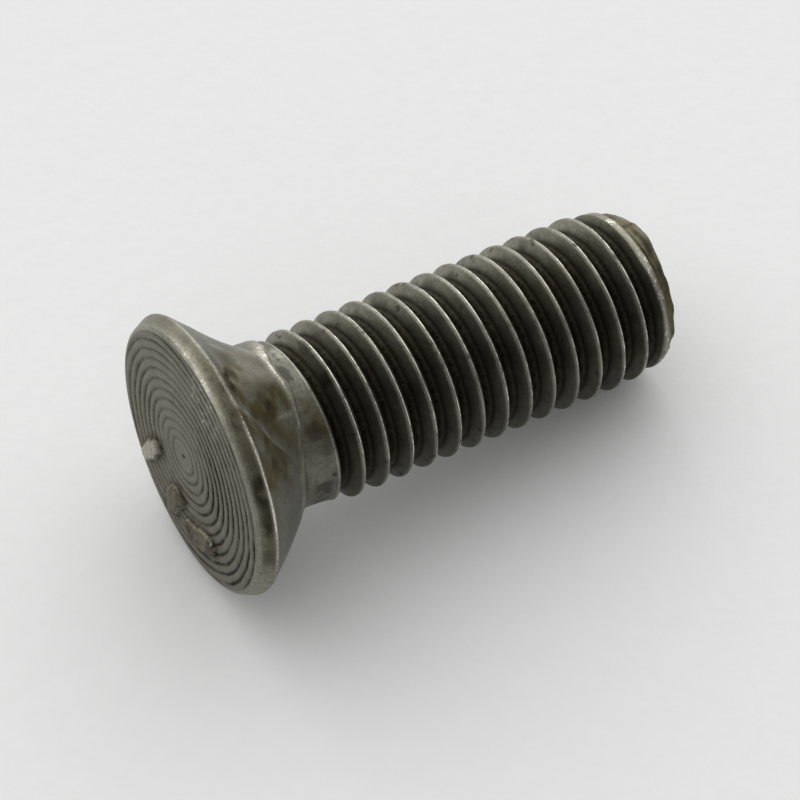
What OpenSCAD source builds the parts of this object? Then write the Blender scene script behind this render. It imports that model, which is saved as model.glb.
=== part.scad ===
// Plough bolt: flat countersunk head, short square neck, plain collar and coarse right-hand thread.
// Frame: millimetres, the bolt stands on its head, z = 0 is the flat face, +Z runs to the thread end.

/* [Head] */
// Diameter of the sharp rim where the band of the head meets the cone
head_d = 16.1; // [15.2:0.1:19]
// Diameter of the flat face, inside the rounded edge
face_d = 15; // [13:0.1:15.4]
// Height of the sharp rim above the face
rim_h = 0.87; // [0.75:0.01:1.4]
// Radius of the rounded edge between face and band
face_edge_r = 0.3; // [0.15:0.05:0.45]
// Full angle of the countersunk cone
cone_deg = 86; // [80:1:92]

/* [Neck] */
// Distance across the rounded corners of the square neck
neck_corner_d = 10.4; // [10:0.02:10.8]
// Distance of each bulged side's own axis from the neck's axis, larger is flatter
side_bulge = 3.8; // [3:0.1:4.6]
// Half angle at which the sides flare out onto the cone
flare_deg = 35; // [30:0.5:38]
// Height at which the straight part of the neck ends
neck_top = 5.05; // [4.9:0.05:5.2]
// Bevel at the end of the neck
neck_bevel = 0.45; // [0.2:0.05:0.5]
// Distance the forged neck sits off the thread's axis
neck_shift = 0.46; // [0:0.02:0.5]
// Direction of that offset
neck_shift_dir = -63; // [-180:1:180]

/* [Collar] */
// Diameter of the plain collar between neck and thread
collar_d = 9.35; // [9.1:0.05:9.6]
// Fillet radius between the cone and the collar
cone_fillet_r = 0.35; // [0.1:0.05:0.6]
// Height at which the turned collar ends and the threaded shank takes over
collar_top = 5.62; // [5.55:0.01:5.8]

/* [Thread] */
// Diameter over the thread crests
thread_d = 9.92; // [9.7:0.02:10]
// Distance from one crest to the next
pitch = 1.5; // [1.4:0.05:1.6]
// Depth of the thread down to the flat of the root
thread_depth = 0.82; // [0.7:0.01:0.9]
// Extra depth of the rounded root
root_extra = 0.07; // [0.02:0.01:0.12]
// Height of the first full crest on its marked side
first_crest_z = 7.567; // [7.4:0.01:7.8]
// Direction of that marked side
first_crest_dir = -23; // [-180:1:180]
// Flat segments in one turn of the thread
turn_segs = 40; // [24:4:44]

/* [Thread end] */
// Length of the bolt over everything
bolt_len = 28.2; // [24:0.1:40]
// Distance from the end at which the crests begin to fall
fall_len = 2.8; // [1.5:0.1:4]
// How far the crests have fallen where the end bevel begins
crest_fall = 0.28; // [0:0.02:0.4]
// Length of the end bevel
tip_len = 0.85; // [0.5:0.05:1.4]
// Diameter of the end face
tip_d = 8.3; // [7.8:0.05:8.8]

/* [Hidden] */
$fn = 128;
head_r = head_d / 2;
face_r = face_d / 2;
collar_r = collar_d / 2;
crest_r = thread_d / 2;
root_r = crest_r - thread_depth;
tip_r = tip_d / 2;
cone_tan = tan(cone_deg / 2);
cone_end_z = rim_h + (head_r - collar_r) / cone_tan;
// radius of a bulged side that puts the neck's corner at distance r from the neck's axis
function side_r(r) = sqrt(r * r + sqrt(2) * side_bulge * r + side_bulge * side_bulge);
neck_side_r = side_r(neck_corner_d / 2);
// the flare leaves the straight neck here
flare_z = neck_top - 0.39;
// below this height the flare is steeper, so that it starts inside the cone just above the rim
flare_turn_z = rim_h + 0.63;
flare_start_z = rim_h + 0.2;
flare_start_r = side_r(head_r - (flare_start_z - rim_h) * cone_tan - neck_shift);
// the shank's faceted skin lies this far inside the turned collar
skin = 0.02;
// thread run-in, in turns counted from the first full crest on its marked side
run_in_from = -0.62;
run_in_to = -0.27;
first_turn = -3;
last_turn = ceil((bolt_len - first_crest_z) / pitch) + 1;
// knots of the thread form, in pitches from the middle of a crest
crest_half = 1 / 16;
root_half = 1 / 8;
knots = [-crest_half, crest_half, 0.5 - root_half, 0.5, 0.5 + root_half];
knot_n = len(knots);
rows = (last_turn - first_turn + 1) * knot_n;

function smooth(v) = let (c = min(1, max(0, v))) c * c * (3 - 2 * c);
function run_in(s) = smooth((s - run_in_from) / (run_in_to - run_in_from));
// column j of the thread skin, from half a turn before the marked side to half a turn after
function turn_of(j, q) = first_turn + floor(q / knot_n) + j / turn_segs - 0.5;
function knot_z(j, q) = first_crest_z + pitch * (turn_of(j, q) + knots[q % knot_n]);
function full_r(i) = i < 2 ? crest_r : (i == 3 ? root_r - root_extra : root_r);
// largest radius that the fallen crests and the end bevel leave at height z
function end_r(z) =
    let (fallen = min(1, max(0, (fall_len + z - bolt_len) / (fall_len - tip_len))),
         bevel = min(1, max(0, (bolt_len - z) / tip_len)))
    min(crest_r - crest_fall * fallen, tip_r + (crest_r - crest_fall - tip_r) * bevel
        + (bevel < 1 ? 0 : crest_fall));
function knot_r(j, q) =
    let (i = q % knot_n,
         s = turn_of(j, q) + (i < 2 ? 0 : 1),
         r = collar_r - skin + (full_r(i) - collar_r + skin) * run_in(s))
    min(r, end_r(knot_z(j, q)));
function knot_point(j, q) =
    let (a = first_crest_dir + 360 * (j / turn_segs - 0.5), r = knot_r(j, q))
    [r * cos(a), r * sin(a), knot_z(j, q)];
// index of knot q in column j; past the last column it is column 0 one turn on
function at(j, q) = j < turn_segs ? j * rows + q : q + knot_n;

// rounded edge of the face: centre and end of the arc, tangent to the face and to the band
band_deg = atan2(rim_h, head_r - face_r);
edge_cut = face_edge_r * tan(band_deg / 2);

module head_and_collar() {
    edge = [for (i = [0:5]) let (a = -90 + band_deg * i / 5)
        [face_r - edge_cut + face_edge_r * cos(a), face_edge_r + face_edge_r * sin(a)]];
    turn = 90 - cone_deg / 2;
    f_cut = cone_fillet_r * tan((90 - turn) / 2);
    fillet = [for (i = [0:5]) let (a = 180 + turn - turn * i / 5)
        [collar_r + cone_fillet_r + cone_fillet_r * cos(a),
         cone_end_z + f_cut + cone_fillet_r * sin(a)]];
    rotate_extrude()
        polygon(concat([[0, 0]], edge, [[head_r, rim_h]], fillet,
                       [[collar_r, collar_top], [0, collar_top]]));
}

// one bulged side of the neck: flare, straight part and end bevel about the side's own axis
module neck_side(dir) {
    rotate(dir) translate([-side_bulge, 0, 0]) rotate_extrude()
        polygon([[0, flare_start_z],
                 [flare_start_r, flare_start_z],
                 [neck_side_r + (flare_z - flare_turn_z) * tan(flare_deg), flare_turn_z],
                 [neck_side_r, flare_z],
                 [neck_side_r, neck_top],
                 [neck_side_r - neck_bevel, neck_top + neck_bevel],
                 [0, neck_top + neck_bevel]]);
}

module neck() {
    rotate(neck_shift_dir) translate([neck_shift, 0, 0]) rotate(-neck_shift_dir)
        intersection() {
            neck_side(0);
            neck_side(90);
            neck_side(180);
            neck_side(270);
        }
}

// threaded shank: one skin of knots laid along the helix, a fan to the axis at each end
module thread() {
    n = turn_segs;
    low = n * rows;
    points = concat([for (j = [0:n - 1], q = [0:rows - 1]) knot_point(j, q)],
                    [[0, 0, knot_z(0, 0) + 0.5], [0, 0, knot_z(0, rows - 1) + 0.5]]);
    wall = [for (j = [0:n - 1], q = [0:rows - 2])
        if (j < n - 1 || q < rows - 1 - knot_n)
            each [[at(j, q), at(j, q + 1), at(j + 1, q)],
                  [at(j + 1, q), at(j, q + 1), at(j + 1, q + 1)]]];
    bottom = concat([for (j = [0:n - 1]) [low, at(j, 0), at(j + 1, 0)]],
                    [for (q = [0:knot_n - 1]) [low, at(0, q + 1), at(0, q)]]);
    top = concat([for (j = [0:n - 2]) [low + 1, at(j + 1, rows - 1), at(j, rows - 1)]],
                 [[low + 1, at(0, rows - 1), at(n - 1, rows - 1 - knot_n)]],
                 [for (q = [rows - 1 - knot_n:rows - 2]) [low + 1, at(n - 1, q), at(n - 1, q + 1)]]);
    difference() {
        polyhedron(points, concat(wall, bottom, top), convexity = 10);
        translate([-head_d, -head_d, bolt_len]) cube([2 * head_d, 2 * head_d, 4 * pitch]);
    }
}

module plough_bolt() {
    color([0.42, 0.42, 0.40]) union() {
        head_and_collar();
        neck();
        thread();
    }
}

plough_bolt();
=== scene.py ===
"""Looks of a plough bolt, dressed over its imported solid.

Frame: metres. The bolt stands on its head: z = 0 is the flat face and +Z runs to the thread end.
Directions round the bolt are angles in degrees, counted from the near side, which faces the main
camera, and growing anticlockwise as seen from the thread end.
"""

import math
from types import SimpleNamespace

import bpy
import numpy as np
from bpy.props import FloatProperty, FloatVectorProperty, PointerProperty
from mathutils import Euler, Matrix, Vector


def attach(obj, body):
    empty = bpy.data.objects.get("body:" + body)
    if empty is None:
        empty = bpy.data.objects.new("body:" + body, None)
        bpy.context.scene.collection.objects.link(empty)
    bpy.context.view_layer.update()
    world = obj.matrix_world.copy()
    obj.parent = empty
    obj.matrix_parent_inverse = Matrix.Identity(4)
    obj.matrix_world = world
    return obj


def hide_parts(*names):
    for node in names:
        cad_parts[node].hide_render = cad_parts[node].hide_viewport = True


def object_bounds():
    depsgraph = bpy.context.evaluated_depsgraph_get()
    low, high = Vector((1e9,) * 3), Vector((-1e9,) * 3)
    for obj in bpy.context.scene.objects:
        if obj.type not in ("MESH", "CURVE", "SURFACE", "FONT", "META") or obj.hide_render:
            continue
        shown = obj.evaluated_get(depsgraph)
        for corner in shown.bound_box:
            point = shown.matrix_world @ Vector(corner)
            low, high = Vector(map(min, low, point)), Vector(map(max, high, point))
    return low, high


bl_info = {
    "name": "Plough bolt",
    "version": (1, 0, 0),
    "blender": (4, 5, 0),
    "location": "3D View > Sidebar > Plough bolt",
    "description": "Builds the head, the threaded shank and the stage of a plough bolt",
    "category": "Add Mesh",
}

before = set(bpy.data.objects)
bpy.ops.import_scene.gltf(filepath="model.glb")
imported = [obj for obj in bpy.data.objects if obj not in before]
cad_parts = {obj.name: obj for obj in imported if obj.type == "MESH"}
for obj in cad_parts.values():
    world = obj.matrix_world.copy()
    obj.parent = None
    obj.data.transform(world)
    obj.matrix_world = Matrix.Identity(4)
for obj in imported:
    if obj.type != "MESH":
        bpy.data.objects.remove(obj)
CAD_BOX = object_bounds()
CAD_LENGTH = CAD_BOX[1].z - CAD_BOX[0].z
CAD_WIDTH = CAD_BOX[1].x - CAD_BOX[0].x

MM = 0.001
NODE = "plough_bolt"
NEAR_DIRECTION = -23.0  # degrees from +X to the side that faces the main camera
# Numbers from 0 to 1 that the shapes leave on their points for the material
# The dirt mask also carries painted shade, and the wear and rubbed masks painted highlights and light
MASKS = ("wear", "dirt", "patina", "rubbed", "rust")


def length(name, text, default, low=0.0):
    """A length property in metres."""
    return FloatProperty(name=name, description=text, default=default, min=low, precision=5,
                         subtype="DISTANCE", unit="LENGTH")


def colour(name, text, default):
    """A colour property, linear red, green and blue."""
    return FloatVectorProperty(name=name, description=text, default=default, min=0.0, max=1.0,
                               size=3, subtype="COLOR")


def factor(name, text, default, high=1.0):
    """A plain number from 0 up to high."""
    return FloatProperty(name=name, description=text, default=default, min=0.0, max=high)


class HeadSizes(bpy.types.PropertyGroup):
    rim_diameter: length("Rim diameter", "Across the sharp rim between band and cone", CAD_WIDTH)
    rim_height: length("Rim height", "From the face to the sharp rim", 0.87 * MM)
    rim_round: length("Rim rounding", "How far the sharp rim is worn round", 0.15 * MM)
    face_diameter: length("Face diameter", "Across the flat face, inside its edge", 15.0 * MM)
    edge_radius: length("Edge radius", "Radius of the rounded edge of the face", 0.3 * MM)
    cone_angle: FloatProperty(name="Cone angle", description="Full angle of the countersink",
                              default=math.radians(86), subtype="ANGLE")
    neck_corner: length("Neck corners", "Across the rounded corners of the neck", 10.4 * MM)
    side_bulge: length("Side bulge", "From the neck's axis to the axis of a side", 3.8 * MM)
    flare_angle: FloatProperty(name="Flare angle", description="Half angle of the neck's flare",
                               default=math.radians(35), subtype="ANGLE")
    flare_start: length("Flare start", "Height over the rim where the flare starts", 0.2 * MM)
    flare_end: length("Flare end", "Height at which the flare becomes the straight neck", 4.66 * MM)
    flare_turn: length("Flare turn", "Height below which the flare is steeper", 1.5 * MM)
    neck_shift: length("Neck offset", "How far the forged neck sits off the axis", 0.46 * MM)
    neck_shift_direction: FloatProperty(name="Offset direction", default=math.radians(-40),
                                        description="Side towards which the neck sits off",
                                        subtype="ANGLE")
    crease_round: length("Crease rounding", "Softness of the crease between cone and neck",
                         0.10 * MM)
    corner_round: length("Corner rounding", "Softness of the neck's corners", 0.16 * MM)
    ring_spacing: length("Ring spacing", "From one turned ring of the face to the next", 0.565 * MM)
    ring_depth: length("Ring depth", "Depth of the groove between two rings", 0.045 * MM)
    ring_width: length("Ring width", "Width of that groove", 0.34 * MM)
    pad_height: length("Pad height", "Height of the plain raised pads on the face", 0.30 * MM)


class ShankSizes(bpy.types.PropertyGroup):
    bolt_length: length("Bolt length", "Over everything", CAD_LENGTH)
    collar_diameter: length("Collar diameter", "Of the plain length under the thread", 9.35 * MM)
    crest_diameter: length("Crest diameter", "Over the thread crests", 9.92 * MM)
    pitch: length("Pitch", "From one crest to the next", 1.5 * MM, 0.5 * MM)
    thread_depth: length("Thread depth", "Down to the flat of the root", 0.82 * MM)
    root_extra: length("Root rounding", "Extra depth of the rounded root", 0.07 * MM)
    first_crest: length("First crest", "Height of the first full crest on the near side",
                        7.567 * MM)
    fall_length: length("Fall length", "From the end to where the crests begin to fall", 2.8 * MM)
    crest_fall: length("Crest fall", "How far the crests fall before the end bevel", 0.28 * MM)
    end_bevel: length("End bevel", "Length of the bevel at the end", 0.85 * MM, 0.1 * MM)
    end_diameter: length("End diameter", "Across the end face", 8.3 * MM)
    end_dish: length("End dish", "Depth of the hollow in the end face", 0.35 * MM)
    crest_lap: length("Crest lap", "Depth of the rolled seam along the crests", 0.035 * MM)


class Finish(bpy.types.PropertyGroup):
    dark_tone: colour("Dark finish", "Oiled dark steel", (0.135, 0.135, 0.112))
    # Rubbed steel also draws painted light: the upper flanks, the rim's ribbon and the highlight lines
    rubbed_and_lit_tone: colour("Rubbed steel", "Turned or rubbed places", (0.37, 0.36, 0.29))
    patina_tone: colour("Patina", "Olive brown film in sheltered places", (0.072, 0.057, 0.018))
    # Bare steel also draws painted highlights: crest edges, the rim's line and the collar's edge
    bare_and_highlight_tone: colour("Bare steel", "Worn edges", (0.72, 0.70, 0.61))
    # Dirt also draws painted shade: thread roots, lower flanks and the crease over the cone
    dirt_and_shade_tone: colour("Dirt", "Oily dirt in grooves and pits", (0.006, 0.005, 0.003))
    rust_tone: colour("Rust", "Brown film at the thread end", (0.165, 0.148, 0.075))
    dark_roughness: factor("Dark roughness", "Roughness of the dark finish", 0.42)
    bare_roughness: factor("Bare roughness", "Roughness of the worn edges", 0.34)
    head_metal: factor("Head metal", "How metallic the turned and forged head is", 0.86)
    shank_metal: factor("Shank metal", "How metallic the oiled thread is", 0.97)


class Stage(bpy.types.PropertyGroup):
    camera_place: FloatVectorProperty(name="Camera place", description="Where the camera stands",
                                      default=(0.175564, -0.074522, -0.061710), size=3,
                                      precision=5, subtype="TRANSLATION", unit="LENGTH")
    camera_turn: FloatVectorProperty(name="Camera turn", description="XYZ turn of the camera",
                                     default=tuple(math.radians(v) for v in
                                                   (135.9034, -59.7034, 24.9807)),
                                     size=3, precision=5, subtype="EULER")
    lens: FloatProperty(name="Lens", description="Focal length in millimetres", default=168.517,
                        min=1.0)
    floor_direction: FloatProperty(name="Floor direction", default=math.radians(150),
                                   description="Side of the bolt that lies on the floor",
                                   subtype="ANGLE")
    floor_size: length("Floor size", "Length of the floor's edge", 1.2)
    floor_tone: colour("Floor", "Pale ground", (0.78, 0.785, 0.78))
    front_light: factor("Front light", "Strength of the room's light from in front", 0.41, 10.0)
    back_light: factor("Back light", "Strength of the light from the wall behind", 2.48, 10.0)
    light_turn: FloatProperty(name="Light turn", default=math.radians(18), subtype="ANGLE",
                              description="How far the wall's light comes from the left")
    light_lift: FloatProperty(name="Light lift", default=math.radians(20), subtype="ANGLE",
                              description="How far the wall's light comes from above")
    light_reach: factor("Light reach", "How far round the back light is felt", 0.3)
    light_fall: factor("Light fall", "Power with which the back light falls away", 1.9, 8.0)


# Shapes as whole arrays, in millimetres

def in_millimetres(sizes):
    """The sizes of a property group as plain numbers: lengths in millimetres, angles as they are."""
    values = {}
    for item in sizes.bl_rna.properties:
        if item.type == "FLOAT":
            unit = MM if item.unit == "LENGTH" else 1.0
            values[item.identifier] = getattr(sizes, item.identifier) / unit
    return SimpleNamespace(**values)


def smooth_step(value):
    """0 below 0, 1 above 1, and 3v^2 - 2v^3 between."""
    v = np.clip(value, 0.0, 1.0)
    return v * v * (3.0 - 2.0 * v)


def bump(value, centre, half_width):
    """1 at the centre, falling smoothly to 0 at half_width on either side."""
    return smooth_step(1.0 - np.abs(value - centre) / half_width)


def soft_max(a, b, width):
    """The larger of a and b, with the corner between them filled by a parabola of that width."""
    gap = np.clip(0.5 + 0.5 * (a - b) / width, 0.0, 1.0)
    return b + (a - b) * gap + width * gap * (1.0 - gap)


def soft_min(a, b, width):
    """The smaller of a and b, with the corner between them cut by a parabola of that width."""
    return -soft_max(-a, -b, width)


def turn_from(direction, centre):
    """Signed angle in degrees from centre to direction, in -180..180."""
    return (direction - centre + 180.0) % 360.0 - 180.0


def round_the_bolt(direction, knots):
    """A value that depends on the direction: the knots are (direction, value) in rising order, and
    between two knots the value follows a smooth step, closing up after one turn."""
    places = np.array([k[0] for k in knots] + [knots[0][0] + 360.0])
    values = np.array([k[1] for k in knots] + [knots[0][1]])
    d = (direction - places[0]) % 360.0 + places[0]
    i = np.clip(np.searchsorted(places, d, side="right") - 1, 0, len(knots) - 1)
    share = smooth_step((d - places[i]) / (places[i + 1] - places[i]))
    return values[i] + (values[i + 1] - values[i]) * share


def lumps(x, y, z, cell, seed):
    """Smooth random value in about -1..1 at each point: random numbers on a cubic lattice with that
    cell, blended between the eight nearest lattice points with smooth steps."""
    table = np.random.default_rng(seed).uniform(-1.0, 1.0, (32, 32, 32))
    steps = [np.asarray(v, float) / cell + 911.3 for v in np.broadcast_arrays(x, y, z)]
    low = [np.floor(s).astype(int) for s in steps]
    share = [smooth_step(s - l) for s, l in zip(steps, low)]
    total = 0.0
    for corner in range(8):
        bit = [(corner >> k) & 1 for k in range(3)]
        weight = 1.0
        for k in range(3):
            weight = weight * (share[k] if bit[k] else 1.0 - share[k])
        i, j, k = ((low[n] + bit[n]) % 32 for n in range(3))
        total = total + weight * table[i, j, k]
    return total


def rough(x, y, z, cell, seed, octaves=3):
    """Sum of lumps at cell, cell/2, cell/4 and so on, each half as high as the one before."""
    total = 0.0
    for k in range(octaves):
        total = total + lumps(x, y, z, cell / 2 ** k, seed + k) * 0.5 ** k
    return total


def spot_sum(direction, height, spots, grain):
    """Sum of soft oval spots, each (direction, height, half width, half height, strength) in
    degrees and millimetres. A spot is full inside its oval and the grain frays its edge."""
    total = 0.0
    for centre, level, wide, tall, strength in spots:
        out = np.hypot(turn_from(direction, centre) / wide, (height - level) / tall)
        total = total + strength * smooth_step(1.3 - out + 0.5 * grain)
    return np.clip(total, 0.0, 1.0)


def lift(masks, **least):
    """Raises each named mask to at least the value given for it."""
    for name, value in least.items():
        masks[name] = np.maximum(masks[name], value)


def closed_shell(name, x, y, z, masks, climb=0):
    """A closed skin over a grid of points in millimetres: rows run from one pole to the other and
    columns run round the axis. With climb > 0 the skin is wound like a thread, so the row that
    leaves the last column goes on in the first column, that many rows higher. Each end is closed
    by a fan."""
    rows, columns = x.shape
    mesh = bpy.data.meshes.new(name)
    index = np.arange(rows * columns).reshape(rows, columns)
    following = np.roll(index, -1, axis=1)
    here, there = index[:-1], following[:-1].copy()
    here_up, there_up = index[1:], following[1:].copy()
    if climb:
        lifted = np.full((rows, 1), -1)
        lifted[:rows - climb, 0] = index[climb:, 0]
        there[:, -1] = lifted[:-1, 0]
        there_up[:, -1] = lifted[1:, 0]
    quads = np.stack([here, there, there_up, here_up], axis=-1).reshape(-1, 4)
    quads = quads[(quads >= 0).all(axis=1)]
    first, last = rows * columns, rows * columns + 1
    low_ring = list(index[0])
    high_ring = list(index[-1])
    if climb:
        low_ring += list(index[climb:0:-1, 0])
        high_ring += list(index[-2:-2 - climb:-1, -1])
        low_ring = low_ring + [index[0, 0]]
        high_ring = [index[-1, 0]] + high_ring[1:] + [index[-1, 0]]
    else:
        low_ring.append(index[0, 0])
        high_ring.append(index[-1, 0])
    low_ring, high_ring = np.array(low_ring), np.array(high_ring)
    fan_low = np.stack([low_ring[1:], low_ring[:-1], np.full(len(low_ring) - 1, first)], axis=-1)
    fan_high = np.stack([high_ring[:-1], high_ring[1:], np.full(len(high_ring) - 1, last)], axis=-1)
    points = np.stack([x, y, z], axis=-1).reshape(-1, 3)
    poles = np.array([[0.0, 0.0, z[0].mean()], [0.0, 0.0, z[-1].mean()]])
    points = np.concatenate([points, poles]) * MM
    loops = np.concatenate([quads.ravel(), fan_low.ravel(), fan_high.ravel()])
    sides = np.concatenate([np.full(len(quads), 4), np.full(len(fan_low) + len(fan_high), 3)])
    mesh.vertices.add(len(points))
    mesh.vertices.foreach_set("co", points.ravel())
    mesh.loops.add(len(loops))
    mesh.loops.foreach_set("vertex_index", loops)
    mesh.polygons.add(len(sides))
    mesh.polygons.foreach_set("loop_start", np.concatenate([[0], np.cumsum(sides)[:-1]]))
    mesh.polygons.foreach_set("use_smooth", np.ones(len(sides), bool))
    for mask, values in masks.items():
        layer = mesh.attributes.new(mask, "FLOAT", "POINT")
        flat = np.asarray(values, float).ravel()
        layer.data.foreach_set("value", np.concatenate([flat, [flat[0], flat[-1]]]))
    mesh.update(calc_edges=True)
    if mesh.validate():
        raise RuntimeError(f"{name} has faces that fold back on themselves")
    piece = bpy.data.objects.new(name, mesh)
    bpy.context.scene.collection.objects.link(piece)
    return piece


def dress(piece, material):
    """Gives a piece its material, body and slot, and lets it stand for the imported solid."""
    piece.data.materials.append(material)
    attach(piece, "root")
    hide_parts(NODE)


# Head

# Round the bolt, as (direction in degrees, value in millimetres): the height at which the neck
# ends, how much the neck is worn down, and how far the face's edge and the rim lie from the nominal
# ones. The steepness of the neck's end and the wear of the rim are plain numbers.
NECK_END = ((-88, 5.75), (-69, 5.5), (-52, 5.1), (-41, 4.85), (-31, 4.7), (-22, 4.72), (-12, 4.85),
            (0, 4.78), (12, 4.5), (24, 4.15), (36, 3.9), (68, 3.75), (110, 4.2), (180, 4.9),
            (225, 5.4))
NECK_TRIM = ((-180, 0.0), (-110, 0.04), (-88, 0.10), (-66, 0.03), (15, 0.0), (42, 0.25), (68, 0.85),
             (95, 0.75), (130, 0.15))
NECK_STEEP = ((-110, 0.75), (-70, 0.8), (-40, 1.3), (0, 1.5), (60, 1.5), (120, 1.2), (180, 1.0))
FACE_EDGE = ((-180, 0.30), (-124, 0.38), (-60, 0.22), (0, -0.05), (60, -0.12), (110, 0.06),
             (150, 0.14))
RIM_EDGE = ((-180, 0.05), (-120, 0.15), (-88, 0.19), (-40, 0.05), (0, -0.02), (60, -0.08),
            (95, -0.10), (130, -0.02))
RIM_WEAR = ((-180, 1.0), (-60, 0.9), (40, 1.1), (88, 2.6), (130, 1.4))

# Round the bolt, as (direction in degrees, share 0..1): wear of the face's edge, rubbing of the rim
# with its painted highlight, film on the band, painted shade in the crease over the cone and wear
# of the neck's end
EDGE_WEAR = ((-180, 0.3), (-120, 0.35), (-95, 0.5), (-82, 0.5), (-68, 0.35), (-55, 0.5), (-42, 0.9),
             (-28, 1.0), (-14, 0.9), (-2, 0.6), (15, 0.4), (40, 0.3), (90, 0.3))
RIM_RUBBED_AND_HIGHLIGHT = ((-180, 0.5), (-60, 0.5), (-25, 0.5), (0, 0.9), (25, 1.0), (50, 0.75), (100, 0.5))
BAND_FILM = ((-180, 0.6), (-90, 0.5), (-60, 0.75), (-20, 0.95), (20, 1.0), (50, 0.9), (70, 0.3),
             (110, 0.4))
CREASE_PAINTED_SHADE = ((-180, 0.0), (-50, 0.0), (-38, 0.3), (-24, 0.4), (-15, 0.0))
NECK_END_WEAR = ((-180, 0.3), (-90, 0.7), (-62, 0.92), (-22, 1.0), (-8, 0.7), (10, 0.55),
                 (60, 0.5), (110, 0.3))
# How wide the worn places are, in millimetres: in from the face's edge, and along the neck's end
EDGE_REACH = ((-180, 0.4), (-105, 0.6), (-80, 0.9), (-50, 0.9), (-20, 0.7), (10, 0.45), (90, 0.3))
NECK_END_REACH = ((-180, 0.3), (-80, 0.6), (-60, 0.7), (-30, 0.5), (0, 0.25), (60, 0.22),
                  (120, 0.3))

# Face, in millimetres to the right and up as seen from the main camera: centre of the turned rings,
# centre and half sizes of the matted patch, whose bare specks are also a painted reflection, and
# the plain raised pads, each with its centre, half length, half width, turn in degrees and wear
RING_CENTRE = (-0.95, 0.5)
RING_WOBBLE = ((0.07, 1.6, 11), (0.035, 0.7, 12), (0.015, 0.3, 19))  # height, cell, seed
MATTED_SHEEN_PATCH = (5.5, 2.5, 2.6, 3.0)
PADS = ((-5.35, 1.5, 1.45, 0.55, 3.0, 0.46), (-4.95, -1.5, 1.45, 0.72, 12.0, 0.25),
        (-3.3, -3.95, 1.75, 0.75, -28.0, 0.36))
PAD_CLEAN = 0.36  # a pad with more wear than this has lost its film
PIP_DEPTH = 0.10  # of the small hollow that the lathe leaves at the centre of the rings

# Painted highlight line along the foot of the neck's near corner: directions and heights in millimetres
CREASE_LINE = ((-14, -10, -6, -1, 4, 12, 26), (0.93, 1.31, 1.76, 2.02, 2.37, 3.10, 3.95))

# Spots on band, neck and cone, see spot_sum
BAND_SPOTS = ((-22, 0.5, 7, 0.5, 0.6), (-8, 0.6, 5, 0.4, 0.75), (8, 0.6, 6, 0.4, 0.4),
              (22, 0.5, 9, 0.5, 0.85), (38, 0.5, 9, 0.5, 0.95), (52, 0.5, 6, 0.5, 0.5),
              (-50, 0.5, 6, 0.4, 0.3), (170, 0.5, 60, 0.5, 0.5))
FILM_SPOTS = ((-29, 1.6, 6, 0.4, 0.9), (-34, 2.3, 4, 0.4, 0.5), (-16, 1.4, 5, 0.4, 0.7),
              (-9, 1.9, 5, 0.6, 1.0), (-10, 3.0, 6, 0.7, 1.0), (-15, 3.2, 6, 0.9, 0.7),
              (-14, 4.2, 7, 0.5, 0.7), (-24, 1.05, 9, 0.25, 0.9), (-35, 1.1, 7, 0.25, 0.8),
              (-40, 2.0, 6, 0.6, 0.5), (-24, 2.4, 8, 1.0, 0.45), (-22, 3.6, 7, 0.8, 0.4),
              (0, 2.9, 7, 0.7, 0.6), (8, 3.9, 8, 0.6, 0.5), (-2, 1.1, 9, 0.3, 0.9),
              (9, 1.1, 8, 0.3, 0.8), (10, 1.7, 9, 0.8, 0.9), (16, 2.9, 9, 0.8, 0.8),
              (24, 2.2, 9, 0.9, 0.5), (-42, 3.7, 10, 0.7, 0.45), (60, 2.5, 25, 1.2, 0.2),
              (110, 4.0, 20, 0.8, 0.4), (150, 2.6, 40, 1.2, 0.5), (-150, 3.2, 35, 1.5, 0.5))
DIRT_SPOTS = ((-28, 1.55, 4, 0.3, 0.5), (-21, 1.2, 3, 0.25, 0.5), (-14.5, 2.75, 4, 0.45, 0.45),
              (-12, 3.5, 5, 0.35, 0.35), (-9, 1.8, 4, 0.35, 0.7), (-10, 3.0, 6, 0.5, 0.6),
              (-14, 4.2, 4, 0.3, 0.3), (-7, 2.3, 4, 0.3, 0.6), (-4, 1.2, 5, 0.22, 0.4),
              (6, 1.4, 7, 0.3, 0.4), (12, 2.0, 6, 0.4, 0.35), (-13, 2.4, 3, 0.3, 0.4),
              (6, 1.8, 5, 0.3, 0.4), (-24, 1.2, 8, 0.14, 0.6), (-35, 1.1, 5, 0.12, 0.5))
RUBBED_SPOTS = ((-24, 2.5, 6, 1.3, 0.5), (-31, 3.2, 8, 1.2, 0.45), (-66, 4.2, 24, 1.2, 0.6),
                (-45, 2.9, 9, 1.0, 0.35), (-5, 3.9, 1.6, 0.9, 0.5), (75, 1.2, 25, 0.8, 0.35),
                (-70, 1.8, 22, 1.0, 0.25))

# Rows of the head's skin, and where its side ends inside the shank, in millimetres
FACE_ROWS, EDGE_ROWS, BAND_ROWS, SIDE_ROWS = 150, 8, 7, 176
BAND_SHARE = 0.45  # of the band belongs to its own rows, the rest to the side's
SIDE_TOP, INSIDE_SHANK = 6.3, 3.8


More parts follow.
